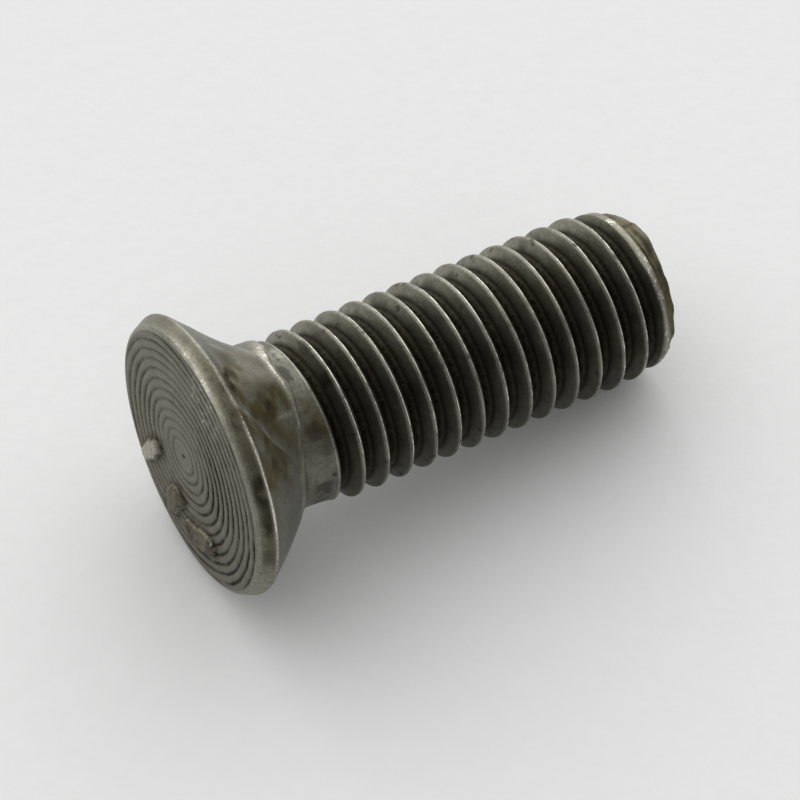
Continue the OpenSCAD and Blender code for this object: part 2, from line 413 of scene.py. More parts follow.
def turned_rings(right, up, inside, sizes):
    """Grooves at equal spacing round RING_CENTRE, a little wobbly, with a wavy ground between them.
    Both fade at that centre and at the face's edge. Returns the depth, the share of a point that
    lies in a groove, and its distance from the centre."""
    reach = np.hypot(right - RING_CENTRE[0], up - RING_CENTRE[1])
    wobble = sum(high * lumps(right, up, 0.0, cell, seed) for high, cell, seed in RING_WOBBLE)
    phase = (reach + wobble) / sizes.ring_spacing
    off_groove = np.abs((phase + 0.5) % 1.0 - 0.5) * sizes.ring_spacing / (sizes.ring_width / 2)
    strength = smooth_step(reach - 0.3) * smooth_step((inside - 0.12) / 0.3) \
        * (0.8 + 0.5 * lumps(right, up, 0.0, 2.2, 13) + 0.35 * lumps(right, up, 0.0, 0.5, 20))
    strength = np.clip(strength * (0.55 + 0.45 * smooth_step((reach - 1.5) / 2.0)), 0.0, 1.2)
    groove = smooth_step(1.0 - off_groove) * strength
    ground = 0.5 * np.cos(2 * np.pi * phase) * strength
    return sizes.ring_depth * (groove + ground), groove, reach


def raised_pads(right, up):
    """Plain pads with round ends and frayed outlines. Returns how much of a pad each point is, how
    worn it is there, and the halo of film round the pads, all 0..1."""
    pads = worn = halo = 0.0
    fray = 0.16 * rough(right, up, 0.0, 0.6, 14)
    for centre_right, centre_up, long, wide, turn, wear in PADS:
        cos, sin = math.cos(math.radians(turn)), math.sin(math.radians(turn))
        along = (right - centre_right) * cos + (up - centre_up) * sin
        across = -(right - centre_right) * sin + (up - centre_up) * cos
        over = np.maximum(np.abs(along) - (long - wide), 0.0)
        within = wide - np.hypot(over, across) + fray
        pad = smooth_step(within / 0.24 + 0.3)
        pads = np.maximum(pads, pad)
        worn = np.maximum(worn, pad * wear)
        halo = np.maximum(halo, smooth_step(1.0 + within / 0.7))
    return pads, worn, halo


def face_relief(x, y, edge, sizes):
    """Height of the face, where towards -Z is up from the metal, and its masks: turned rings with a
    pip at their centre, raised pads, fine grain and a matted patch, whose bare specks also stand for
    a painted reflection. The grooves are darker, more so on the lower right, and so are the pads'
    feet and hollows."""
    near = math.radians(NEAR_DIRECTION)
    right = x * math.cos(near) + y * math.sin(near)
    up = x * math.sin(near) - y * math.cos(near)
    rings, groove, reach = turned_rings(right, up, edge - np.hypot(x, y), sizes)
    pads, worn_pads, halo = raised_pads(right, up)
    under_pads = 1.0 - 0.85 * smooth_step(pads * 2.0)
    broken = 0.09 * rough(right, up, 0.0, 0.45, 17)
    z = rings * under_pads + PIP_DEPTH * bump(reach, 0.0, 0.28) \
        - (sizes.pad_height + broken) * pads + 0.010 * rough(right, up, 0.0, 0.30, 15)

    blotch = 0.5 + 0.5 * rough(right, up, 0.0, 1.7, 18)
    lower_right = smooth_step(
        0.45 + ((right - RING_CENTRE[0]) * 0.8 - (up - RING_CENTRE[1])) / 9.0)
    foot = bump(pads, 0.14, 0.3) * (pads < 0.5)
    ridge = bump(pads, 0.7, 0.28)
    clean = smooth_step((worn_pads - PAD_CLEAN) / 0.08)
    sunk = smooth_step(1.6 * rough(right, up, 0.0, 0.8, 26) + 0.35) * (1.0 - 0.7 * ridge) \
        * (1.0 - 0.7 * clean)
    matted_and_sheen = bump(np.hypot((right - MATTED_SHEEN_PATCH[0]) / MATTED_SHEEN_PATCH[2],
                           (up - MATTED_SHEEN_PATCH[1]) / MATTED_SHEEN_PATCH[3]), 0.0, 1.0)
    fibres = rough(right * 0.5 + up * 0.2, up, 0.0, 0.22, 24)

    dirt = groove * under_pads * (0.3 + 0.5 * lower_right) * (0.5 + 0.7 * blotch)
    dirt = np.clip(dirt + 0.9 * foot + 0.6 * bump(reach, 0.0, 0.25), 0, 1)
    dirt = np.clip(dirt + np.clip(pads - worn_pads, 0, 1)
                   * (0.2 * (1.0 - clean) + 0.6 * sunk), 0, 1)
    wear = np.clip(worn_pads + ridge * (0.2 + 0.2 * rough(right, up, 0.0, 0.5, 16)), 0, 0.75)
    # Bare specks on the matted patch: real matting and a painted reflection of the back light
    wear = np.maximum(wear, smooth_step(2.0 * matted_and_sheen) * (0.44 + 0.02 * fibres))
    rubbed = (1.0 - 0.3 * groove) * (0.90 + 0.3 * blotch) * (1.0 - 0.5 * pads * (1.0 - clean))
    film = np.clip(0.25 + 0.3 * (blotch - 0.5) - matted_and_sheen * (0.2 + 0.3 * fibres), 0.0, 1.0) \
        * (0.6 + 0.25 * lower_right)
    film = np.maximum(film, halo * (0.45 + 0.3 * blotch) * (1.0 - 0.8 * clean))
    return z, {"dirt": dirt, "wear": wear, "rubbed": rubbed, "patina": film}


def face_to_band(sizes, face_r, rim_r):
    """Radius and height of the flat face, its rounded edge and the lower part of the band, rows by
    directions. The distances of the face's edge and of the rim differ round the bolt."""
    band = np.arctan2(sizes.rim_height, rim_r - face_r)
    cut = sizes.edge_radius * np.tan(band / 2)
    r_face = np.linspace(0.004, 1.0, FACE_ROWS)[:, None] * (face_r - cut)
    turn = -math.pi / 2 + band * np.linspace(0, 1, EDGE_ROWS + 1)[1:, None]
    r_edge = face_r - cut + sizes.edge_radius * np.cos(turn)
    z_edge = sizes.edge_radius * (1 + np.sin(turn))
    share = BAND_SHARE * np.linspace(0, 1, BAND_ROWS + 1)[1:, None]
    r_band = r_edge[-1] + (rim_r - r_edge[-1]) * share
    z_band = z_edge[-1] + (sizes.rim_height - z_edge[-1]) * share
    return (np.concatenate([r_face, r_edge, r_band]),
            np.concatenate([np.zeros(r_face.shape), z_edge, z_band]))


def neck_radius(direction, height, sizes):
    """Distance of the neck's skin from the bolt's axis: each of the four sides is a round of its
    own, centred behind the neck's axis. Its radius grows with the flare below flare_end, less so
    below flare_turn, so that the corners start just inside the rim. The skin is the nearest of
    the four."""
    bulge = sizes.side_bulge

    def side_radius(corner):
        return math.sqrt(corner ** 2 + math.sqrt(2) * bulge * corner + bulge ** 2)

    start_corner = sizes.rim_diameter / 2 - sizes.flare_start * math.tan(sizes.cone_angle / 2) \
        - sizes.neck_shift
    straight = side_radius(sizes.neck_corner / 2)
    flared = straight + (sizes.flare_end - sizes.flare_turn) * math.tan(sizes.flare_angle)
    levels = [sizes.rim_height + sizes.flare_start, sizes.flare_turn, sizes.flare_end]
    side_r = np.interp(height, levels, [side_radius(start_corner), flared, straight])
    skin = None
    for quarter in range(4):
        side_angle = math.radians(quarter * 90.0 - NEAR_DIRECTION)
        cx = sizes.neck_shift * math.cos(sizes.neck_shift_direction) - bulge * math.cos(side_angle)
        cy = sizes.neck_shift * math.sin(sizes.neck_shift_direction) - bulge * math.sin(side_angle)
        along = cx * np.cos(np.radians(direction)) + cy * np.sin(np.radians(direction))
        reach = along + np.sqrt(along ** 2 - cx ** 2 - cy ** 2 + side_r ** 2)
        skin = reach if skin is None else soft_min(skin, reach, sizes.corner_round)
    return skin


def cone_and_neck(direction, height, face_r, rim_r, sizes):
    """Radius of the side as a function of direction and height: the larger of cone and neck, cut by
    the upper part of the band with a worn corner. The cone evens out behind the rim and is a little
    full half way up. The neck ends in a bevel and runs on inside the shank. Returns the radius, the
    height over the neck's end, and how far the neck stands out of the cone."""
    above_rim = height - sizes.rim_height
    off_round = (rim_r - sizes.rim_diameter / 2) * (1 - smooth_step(above_rim / 1.5))
    full = 0.08 * smooth_step((height - 1.2) / 0.8) * (1 - smooth_step((height - 3.8) / 0.5))
    cone = sizes.rim_diameter / 2 + off_round + full - above_rim * math.tan(sizes.cone_angle / 2)
    over_end = height - round_the_bolt(direction, NECK_END)
    past_end = np.maximum(over_end, 0.0)
    neck = neck_radius(direction, height, sizes) - round_the_bolt(direction, NECK_TRIM) \
        - past_end * round_the_bolt(direction, NECK_STEEP) - 0.06 * smooth_step(past_end / 0.3)
    skin = soft_max(cone, neck, sizes.crease_round * 2)
    band_r = rim_r - (sizes.rim_height - height) * (rim_r - face_r) / sizes.rim_height
    skin = soft_min(skin, band_r, sizes.rim_round * round_the_bolt(direction, RIM_WEAR))
    return np.maximum(skin, INSIDE_SHANK), over_end, neck - cone


def off_ridge(direction, z):
    """Angle from the low ridge that runs slantwise along the neck."""
    return turn_from(direction, -30.0 - 4.6 * (z - 2.0))


def finish_edge_and_band(masks, grid, sizes, medium, broad):
    """Wear in specks on the face's edge, a rubbed rim whose bright line is partly wear and partly a
    painted highlight, and stains on the band.
    """
    from_edge = 1.0 - grid.is_side
    zone = smooth_step(1.0 - (grid.inside - 0.1) / round_the_bolt(grid.direction, EDGE_REACH)) \
        * smooth_step(1.0 + (grid.inside + 0.1) / 0.2) * from_edge
    core = bump(grid.inside, 0.05, 0.4) * from_edge
    share = round_the_bolt(grid.direction, EDGE_WEAR)
    lift(masks, wear=share * (0.38 * zone + 0.22 * core) * (0.95 + 0.2 * medium),
         rubbed=share * zone * 0.9)
    # The rim's bright line and grey ribbon: partly worn, rubbed steel, partly a painted highlight
    from_rim = np.hypot(grid.r - grid.rim_r, grid.base_z - sizes.rim_height)
    share = round_the_bolt(grid.direction, RIM_RUBBED_AND_HIGHLIGHT)
    lift(masks, rubbed=bump(from_rim, 0.0, 0.26) * share * 0.8,
         wear=smooth_step(1.7 - from_rim / 0.08) * share * (0.63 + 0.08 * medium))
    on_band = (1.0 - grid.is_face) * smooth_step((0.95 * sizes.rim_height - grid.base_z) / 0.15) \
        * smooth_step((grid.base_z - 0.1) / 0.12)
    share = round_the_bolt(grid.direction, BAND_FILM)
    stains = smooth_step(medium * 1.3 + 0.6) * spot_sum(grid.direction, grid.base_z, BAND_SPOTS, broad)
    lift(masks, dirt=on_band * 0.85 * stains, patina=on_band * 0.45 * share,
         rubbed=on_band * (1 - share) * 0.6)


def finish_neck(masks, grid, medium, broad):
    """Film, dirt and rubbed places on neck and cone, painted shade in the crease over the cone, a
    painted highlight line with a dark film under it along the foot of the near corner, and a worn,
    speckled band where the neck ends."""
    crease = bump(np.abs(grid.neck_out), 0.0, 0.25) * smooth_step(grid.base_z - 1.1)
    near = turn_from(grid.direction, 0.0)
    over_line = grid.base_z - np.interp(near, *CREASE_LINE)
    along = smooth_step((near + 17.0) / 6.0) * smooth_step((26.0 - near) / 18.0)
    # Painted highlight: a light line along the foot of the near corner
    painted_highlight_line = bump(over_line, 0.05, 0.2) * along * np.clip(0.7 + 0.7 * medium, 0, 1) * grid.is_side
    under_line = smooth_step(-over_line / 0.15) * smooth_step(over_line / 0.5 + 2.2) * along
    film = spot_sum(grid.direction, grid.base_z, FILM_SPOTS, broad) * (0.75 + 0.35 * medium)
    film = np.maximum(film, under_line * (0.85 + 0.3 * medium)) * (1.0 - 0.5 * painted_highlight_line) \
        + 0.25 * smooth_step(grid.neck_out / 0.12 + 0.5) + 0.3 * crease
    # Dark spots, and painted shade in the crease over the cone on the upper near side
    dark = spot_sum(grid.direction, grid.base_z, DIRT_SPOTS, medium) * (0.6 + 0.5 * medium) \
        + crease * round_the_bolt(grid.direction, CREASE_PAINTED_SHADE) * (0.8 + 0.4 * medium)
    light = spot_sum(grid.direction, grid.base_z, RUBBED_SPOTS, medium) * (0.7 + 0.5 * broad)
    ridge = bump(off_ridge(grid.direction, grid.base_z), 0.0, 1.6) * bump(grid.base_z, 3.1, 1.3)
    light = np.maximum(light, np.maximum(0.35 * painted_highlight_line, 0.6 * ridge))
    lift(masks, patina=grid.is_side * np.clip(film, 0, 1), dirt=grid.is_side * dark,
         rubbed=grid.is_side * light)
    end_zone = grid.is_side * round_the_bolt(grid.direction, NECK_END_WEAR) * smooth_step(
        1.5 - np.abs(grid.over_neck_end - 0.12) / round_the_bolt(grid.direction, NECK_END_REACH))
    lift(masks, rubbed=end_zone, wear=end_zone * (0.53 + 0.10 * medium))


def build_head(sizes, columns=288):
    """Skin of the head and neck. Inside the rim its rows follow the profile of face, edge and band,
    past the rim those of the side. Forged unevenness and two low ridges along the neck lie over
    the side, the turned relief over the face."""
    sizes = in_millimetres(sizes)
    directions = np.arange(columns) * 360.0 / columns
    face_r = sizes.face_diameter / 2 + round_the_bolt(directions, FACE_EDGE)
    rim_r = sizes.rim_diameter / 2 + round_the_bolt(directions, RIM_EDGE)
    profile_r, profile_z = face_to_band(sizes, face_r, rim_r)
    side_start = profile_z[-1].max() + 0.02
    heights = side_start + (SIDE_TOP - side_start) * np.linspace(0, 1, SIDE_ROWS) ** 1.15
    direction, height = np.meshgrid(directions, heights)
    side_r, over_neck_end, neck_out = cone_and_neck(direction, height, face_r, rim_r, sizes)

    grid = SimpleNamespace(r=np.concatenate([profile_r, side_r]), rim_r=rim_r,
                        base_z=np.concatenate([profile_z, height]),
                        over_neck_end=np.concatenate([np.ones(profile_r.shape), over_neck_end]),
                        neck_out=np.concatenate([np.zeros(profile_r.shape), neck_out]))
    grid.direction = np.broadcast_to(directions, grid.r.shape)
    row = np.broadcast_to(np.arange(len(grid.r))[:, None], grid.r.shape)
    grid.is_side = (row >= len(profile_r)) * 1.0
    grid.is_face = (row < FACE_ROWS) * 1.0
    grid.inside = face_r - grid.r
    cos, sin = (f(np.radians(grid.direction + NEAR_DIRECTION)) for f in (np.cos, np.sin))

    x, y = grid.r * cos, grid.r * sin
    uneven = 0.035 * rough(x, y, grid.base_z, 2.2, 21) + 0.008 * rough(x, y, grid.base_z, 0.35, 22)
    outside = np.maximum(smooth_step(0.6 - grid.inside / 0.4), 1.0 - grid.is_face)
    ridges = 0.045 * bump(off_ridge(grid.direction, grid.base_z), 0.0, 4.0) \
        * bump(grid.base_z, 3.3, 1.6) \
        + 0.03 * bump(turn_from(grid.direction, -5.0), 0.0, 3.0) * bump(grid.base_z, 4.0, 0.9)
    move = uneven * outside + ridges * grid.is_side
    x, y = x + move * cos, y + move * sin
    relief, masks = face_relief(x, y, face_r, sizes)
    fade = smooth_step(grid.inside / 0.25) * grid.is_face
    z = grid.base_z + relief * fade

    face_rubbed = masks["rubbed"] * np.maximum(fade, 0.6 * grid.is_face)
    masks = {name: values * fade for name, values in masks.items()}
    masks.update(rubbed=face_rubbed, rust=np.zeros(grid.r.shape))
    broad, medium = rough(x, y, z, 1.6, 33), rough(x, y, z, 0.8, 35)
    finish_edge_and_band(masks, grid, sizes, medium, broad)
    finish_neck(masks, grid, medium, broad)
    piece = closed_shell("bolt_head", x, y, z, masks)
    dress(piece, head_material())
    return piece


# Shank

# Rows of one turn, as offsets from the middle of a crest in pitches: closest on the crest and where
# the end cuts the flank that faces the head
THREAD_KNOTS = (-0.455, -0.390, -0.325, -0.270, -0.230, -0.200, -0.180, -0.160, -0.140, -0.115,
                -0.085, -0.060, -0.030, 0.0, 0.025, 0.042, 0.055, 0.070, 0.095, 0.140, 0.200,
                0.280, 0.360, 0.440)
# Where the skin's path starts inside the neck, and its length over the end face, in millimetres
PATH_START, PATH_OVER_END = 4.1, 2.1
RUN_IN_FROM, RUN_IN_LENGTH = -0.62, 0.35  # in turns from the first full crest on the near side
COLLAR_OFF, COLLAR_OFF_DIRECTION = 0.16, -88.0  # how far the collar sits off the axis at the neck
# Worn edge of a crest; its bright line is partly a painted highlight
CREST_EDGE, CREST_EDGE_HALF = 0.0525, 0.02  # worn edge of a crest, in pitches from its middle

# Round the bolt, in millimetres: how far the last crests have fallen, distance of the end's edge
# from the nominal one, and the two edges of the land, the worn band where the end cuts the last
# crest, from the end
CREST_FALL = ((-180, 0.28), (-88, 0.28), (-50, 0.23), (-31, 0.20), (-14, 0.23), (-1, 0.12),
              (11, 0.16), (23, 0.08), (35, 0.14), (60, 0.32), (80, 0.38), (100, 0.34), (140, 0.28))
END_EDGE = ((-180, 0.0), (-85, 0.0), (-62, -0.08), (-46, 0.04), (-28, 0.16), (-10, 0.0),
            (8, -0.20), (25, -0.20), (45, -0.10), (90, 0.0))
LAND_FROM = ((-180, 0.9), (-63, 1.0), (-28, 0.78), (1, 0.77), (13, 0.70), (40, 0.65), (90, 0.7))
LAND_TO = ((-180, 1.7), (-60, 1.7), (-31, 1.55), (-14, 1.50), (-1, 1.40), (11, 1.36), (23, 1.28),
           (40, 1.25), (90, 1.2))
# Round the bolt, 0..1: wear of crests, with a painted highlight on their edges, and of the land,
# painted light on the upper flanks, painted shade on the flanks and soot on the end
CREST_WEAR_AND_GLINT = ((-180, 0.46), (-85, 0.46), (-60, 0.48), (-35, 0.54), (10, 0.56), (50, 0.49),
              (90, 0.44))
LAND_WEAR = ((-180, 0.40), (-56, 0.44), (-41, 0.54), (-30, 0.45), (-14, 0.45), (0, 0.50),
             (22, 0.42), (90, 0.38))
FLANK_PAINTED_LIGHT = ((-180, 0.3), (-85, 0.5), (-66, 0.3), (-35, 0.0), (120, 0.0))
FLANK_PAINTED_SHADE = ((-180, 0.2), (-75, 0.0), (-45, 0.1), (-15, 0.2), (15, 0.42), (50, 0.36), (80, 0.16))
END_SOOT = ((-180, 0.5), (-60, 0.6), (-40, 0.5), (-15, 0.2), (90, 0.3))
# Spots on the collar and where the thread runs in, see spot_sum
COLLAR_FILM = ((-60, 6.3, 8, 0.25, 0.8), (-4, 5.5, 9, 0.5, 0.5), (6, 5.9, 8, 0.5, 0.5),
               (12, 5.1, 8, 0.5, 0.6), (22, 5.8, 10, 0.6, 0.4), (-30, 6.8, 22, 0.35, 0.9),
               (-10, 6.6, 12, 0.4, 0.8), (-60, 7.1, 16, 0.3, 0.6), (60, 5.4, 20, 0.5, 0.3))
COLLAR_DIRT = ((9, 5.4, 3, 0.3, 0.4), (15, 5.9, 5, 0.3, 0.4), (26, 5.9, 5, 0.3, 0.3))
COLLAR_RUBBED = ((-76, 6.1, 10, 0.3, 0.3), (-50, 5.9, 10, 0.4, 0.4), (50, 5.2, 18, 0.6, 0.15))
RUN_IN_DIRT = ((-46, 7.15, 12, 0.25, 0.5), (-28, 7.2, 12, 0.25, 0.65), (-8, 7.2, 12, 0.25, 0.5))
RUN_IN_RUST = ((-54, 6.85, 9, 0.2, 0.7), (-41, 6.9, 8, 0.18, 0.6), (-28, 6.95, 6, 0.14, 0.5))


def thread_profile(offset, sizes, lap):
    """Radius over the offset from a crest, in pitches (-0.5..0.5): a narrow crest, soft on the side
    of the head and sharp on the other, with the seam that rolling leaves, straight flanks at 30
    degrees and a rounded root."""
    across = np.abs(offset) * sizes.pitch
    crest_r, root_r = sizes.crest_diameter / 2, sizes.crest_diameter / 2 - sizes.thread_depth
    flat = sizes.pitch / 16
    flank = crest_r - (across - flat) * sizes.thread_depth / (sizes.pitch * 5 / 16)
    skin = soft_min(flank, crest_r - 0.15 * across, np.where(offset < 0, 0.06, 0.03))
    to_root = np.clip((sizes.pitch / 2 - across) / (sizes.pitch / 8), 0.0, 1.0)
    root = root_r - sizes.root_extra * (1.0 - to_root ** 2)
    return soft_max(skin, root, 0.06) - sizes.crest_lap * lap * np.exp(-(across / 0.035) ** 2)


def thread_path(sizes, columns):
    """Grid of the shank's skin, wound like the thread: the path along a column climbs from inside
    the neck to the end and goes on over the end face. Its height follows the helix, so that the
    same rows lie on the crests all the way."""
    turns = np.arange(math.floor((PATH_START - sizes.first_crest) / sizes.pitch),
                      math.ceil((sizes.bolt_length + PATH_OVER_END - sizes.first_crest) / sizes.pitch))
    direction, off = np.meshgrid(-180.0 + np.arange(columns) * 360.0 / columns,
                                 np.tile(THREAD_KNOTS, len(turns)))
    turn = np.repeat(turns, len(THREAD_KNOTS))[:, None] + direction / 360.0
    path = sizes.first_crest + sizes.pitch * (turn + off)
    angle = np.radians(direction + NEAR_DIRECTION)
    grid = SimpleNamespace(direction=direction, off=off, path=path, before_end=sizes.bolt_length - path,
                        cos=np.cos(angle), sin=np.sin(angle), from_crest=np.abs(off) * 2)
    grid.is_side = (grid.before_end >= 0) * 1.0
    # noise on a cylinder of this radius stays the same where the crests fall
    grid.cx, grid.cy = 5 * grid.cos, 5 * grid.sin
    grid.worn = rough(grid.cx, grid.cy, path, 1.3, 41)
    grid.frayed = rough(grid.cx, grid.cy, 0.3 * path, 1.3, 51, 2)
    grid.lap = smooth_step(0.35 + 0.9 * lumps(grid.cx, grid.cy, path, 3.0, 42)) \
        * smooth_step((path - 11) / 3)
    # the groove runs out of the collar over a third of a turn, and the crest a turn before it
    grid.run_crest = smooth_step((turn - RUN_IN_FROM) / RUN_IN_LENGTH)
    grid.run_groove = smooth_step((turn + (off > 0) - RUN_IN_FROM) / RUN_IN_LENGTH)
    grid.run = grid.run_crest \
        + (grid.run_groove - grid.run_crest) * smooth_step(grid.from_crest * 3 - 0.4)
    return grid


def shank_skin(grid, sizes):
    """Radius and height along the path: collar, then thread, whose crests fall away towards the end
    and are cut by the end bevel, and a hollow end face with a wavy lip. Leaves on the grid how deep the
    end cuts the thread, 0..1."""
    seam = grid.lap * (0.8 + 0.5 * lumps(grid.cx, grid.cy, grid.path, 0.5, 43))
    thread = thread_profile(grid.off, sizes, seam)
    collar = sizes.collar_diameter / 2 + COLLAR_OFF * (1.0 - smooth_step((grid.path - 5.2) / 2.2)) \
        * np.cos(np.radians(grid.direction - COLLAR_OFF_DIRECTION))
    skin = collar + (thread - collar) * grid.run
    crest_r, end_r = sizes.crest_diameter / 2, sizes.end_diameter / 2
    fall = round_the_bolt(grid.direction, CREST_FALL)
    fall = fall + (sizes.crest_fall - fall) * np.clip((1.35 - grid.before_end) / 0.5, 0, 1)
    fallen = crest_r - fall * smooth_step(
        (sizes.fall_length - grid.before_end) / (sizes.fall_length - sizes.end_bevel) * 1.3)
    bevelled = end_r + (crest_r - sizes.crest_fall - end_r) * grid.before_end / sizes.end_bevel
    limit = soft_min(fallen, bevelled + 0.05 * grid.frayed, 0.08)
    grid.cut = np.clip((thread - limit) / 0.03, 0.0, 1.0) * grid.run_crest
    ragged = round_the_bolt(grid.direction, END_EDGE) + 0.05 * grid.frayed \
        + 0.02 * rough(grid.cx, grid.cy, grid.path, 0.45, 52)
    ragged = ragged * smooth_step(1.0 - grid.before_end / 0.9)
    skin = soft_min(skin, limit, 0.02) + ragged * grid.is_side

    inward = np.clip(-grid.before_end / PATH_OVER_END, 0.0, 1.0)
    end_face = (end_r + ragged) * (1.0 - inward) + 0.06 * inward
    lip = 0.07 * lumps(grid.cx, grid.cy, 0.0 * grid.path, 1.0, 45)
    dish = sizes.end_dish * smooth_step(inward * 2.2) + lip * (1 - smooth_step(inward * 3)) \
        + 0.06 * rough(grid.cx * (1 - inward), grid.cy * (1 - inward), 0.0 * grid.path, 1.2, 53) \
        * inward
    on_end = grid.before_end < 0
    r = np.where(on_end, end_face, skin) + 0.006 * rough(grid.cx, grid.cy, grid.path, 0.35, 46) \
        + 0.014 * grid.worn * grid.run_crest * (grid.from_crest < 0.28)
    z = np.where(on_end, sizes.bolt_length - dish,
                 grid.path - lip * smooth_step(1.0 - grid.before_end / 0.6))
    return r, z


def finish_thread(masks, grid, sizes):
    """Crests with a worn edge whose sparkling line is partly a painted highlight, and a dark seam, and
    the land where the end cuts the last one. Flanks with painted light on the upper side and painted
    shade below, with pits and smudges, and painted shade in the roots."""
    seam = grid.lap * np.exp(-(grid.off * sizes.pitch / 0.04) ** 2)
    on_crests = grid.run_crest * grid.is_side
    crest = smooth_step(1.5 - np.abs(grid.off) / 0.06) * on_crests
    edge = smooth_step(2.0 - np.abs(grid.off - CREST_EDGE) / CREST_EDGE_HALF) * on_crests
    # Painted highlight: a bright line along the collar's edge where the first groove starts
    collar_edge_highlight = bump(grid.off, 0.10, 0.05) * (grid.run_groove - grid.run_crest) * grid.is_side
    flank = 1.0 - smooth_step(grid.from_crest * 2.0 - 0.8)
    # Crests rubbed, and a painted highlight over real wear along each crest's far edge
    lift(masks, rubbed=np.maximum(crest * (0.08 + 0.2 * grid.lap), edge * 0.8) * (1.0 - 0.6 * seam))
    # Painted light: the upper flanks lightened as if lit from above
    lift(masks, rubbed=round_the_bolt(grid.direction, FLANK_PAINTED_LIGHT) * grid.run * flank)
    # The land rubbed, and the painted highlight along the collar's edge
    lift(masks, rubbed=np.maximum(grid.land * (0.28 + 0.25 * grid.blotch), collar_edge_highlight * 0.8))
    # Wear of the crest edges, brightest on the near side, partly a painted highlight
    edge_wear_and_glint = round_the_bolt(grid.direction, CREST_WEAR_AND_GLINT) + 0.10 * grid.worn + 0.34 * (grid.fine - 0.5)
    wear = (edge * np.clip(edge_wear_and_glint, 0, 1)
            + 0.38 * bump(grid.off, -0.03, 0.03) * grid.lap * on_crests) * (1.0 - 0.8 * seam)
    land_wear = round_the_bolt(grid.direction, LAND_WEAR) + 0.15 * grid.worn + 0.2 * (grid.fine - 0.5)
    lift(masks, wear=wear * (1.0 - 0.7 * grid.land))
    lift(masks, wear=grid.land * np.clip(land_wear, 0, 1))
    lift(masks, wear=collar_edge_highlight * 0.52)
    on_thread = grid.run * grid.is_side
    # Painted shade: the roots blackened as if the narrow groove lay in shadow
    root = smooth_step((grid.from_crest - 0.45) / 0.25) * (0.85 + 0.15 * grid.fine)
    # Painted shade: the flanks darker on the lower side of the bolt
    painted_flank_shade = round_the_bolt(grid.direction, FLANK_PAINTED_SHADE) * (1.0 - crest) * (0.7 + 0.6 * grid.blotch)
    pits = 0.65 * smooth_step(rough(grid.x, grid.y, grid.z, 0.4, 49) * 2.4 - 1.4)
    smudges = 0.5 * smooth_step(rough(grid.x, grid.y, grid.z, 1.0, 54) * 2.2 - 0.25) \
        * smooth_step(grid.from_crest * 2.0 - 0.2)
    lift(masks, dirt=np.maximum(root, painted_flank_shade) * on_thread)
    lift(masks, dirt=np.maximum(pits, smudges) * grid.is_side * (1.0 - grid.land))
    film = 0.12 + 0.45 * smooth_step(grid.from_crest * 1.5 - 0.5) + 0.35 * np.clip(grid.broad, 0, 1)
    lift(masks, patina=film * on_thread * (1.0 - crest))


def finish_collar(masks, grid):
    """Film, dirt and rubbed places on the plain collar, and dark rusty spots where the thread runs
    in."""
    plain = 1.0 - grid.run

    def spots(places):
        return spot_sum(grid.direction, grid.path, places, grid.worn)

    film = np.maximum(0.2 * grid.blotch, spots(COLLAR_FILM) * (0.8 + 0.4 * grid.blotch))
    lift(masks, patina=plain * film * grid.is_side, dirt=plain * spots(COLLAR_DIRT) * 0.8,
         rubbed=plain * spots(COLLAR_RUBBED), rust=spots(RUN_IN_RUST))
    lift(masks, dirt=spots(RUN_IN_DIRT) * (0.7 + 0.4 * grid.blotch))


def finish_end(masks, grid):
    """Beyond the land a streaked rusty film with soot takes the place of the dirt, a dark line runs
    along the land's inner edge, and a thin rusty line lies in the roots."""
    streaks = rough(0.2 * grid.cx, 0.2 * grid.cy, grid.path, 0.14, 56, 2)
    beyond = smooth_step((grid.land_from - grid.before_end) / 0.1)
    soot = smooth_step(2.2 * lumps(grid.x, grid.y, grid.z, 0.4, 55) - 0.8 * streaks - 0.15)
    masks["dirt"] = masks["dirt"] * (1.0 - beyond)
    lift(masks, dirt=beyond * soot * round_the_bolt(grid.direction, END_SOOT),
         rust=beyond * (0.2 + 0.7 * smooth_step(0.3 + 1.2 * streaks)))
    lift(masks, dirt=0.7 * bump(grid.before_end, grid.land_to + 0.3, 0.45) * (1.0 - grid.land))
    root_line = bump(grid.off, -0.40, 0.035) * grid.run * grid.is_side * (1.0 - beyond)
    lift(masks, rust=0.4 * root_line * smooth_step(1.2 * streaks + grid.broad + 0.2))
    masks["dirt"] = masks["dirt"] * (1.0 - 0.4 * root_line)


def build_shank(sizes, columns=216):
    """Skin of collar, thread and end: the path of thread_path with the radius of shank_skin."""
    sizes = in_millimetres(sizes)
    grid = thread_path(sizes, columns)
    r, grid.z = shank_skin(grid, sizes)
    grid.x, grid.y = r * grid.cos, r * grid.sin
    grid.fine = 0.5 + 0.5 * rough(grid.x, grid.y, grid.z, 0.3, 47)
    grid.blotch = 0.5 + 0.5 * rough(grid.x, grid.y, grid.z, 1.0, 48)
    grid.broad = rough(grid.x, grid.y, grid.z, 2.4, 50)
    grid.land_from = round_the_bolt(grid.direction, LAND_FROM) + 0.05 * grid.frayed
    grid.land_to = round_the_bolt(grid.direction, LAND_TO) \
        + 0.05 * lumps(grid.x, grid.y, grid.z, 0.8, 57)
    grid.land = grid.cut * grid.is_side * smooth_step((grid.before_end - grid.land_from) / 0.08) \
        * smooth_step((grid.land_to - grid.before_end) / 0.08)
    masks = {name: np.zeros(r.shape) for name in MASKS}
    finish_thread(masks, grid, sizes)
    finish_collar(masks, grid)
    finish_end(masks, grid)
    piece = closed_shell("bolt_shank", grid.x, grid.y, grid.z, masks, climb=len(THREAD_KNOTS))
    dress(piece, shank_material())
    return piece


# Materials

NOISE_ROUGHNESS = 0.6  # of every noise texture


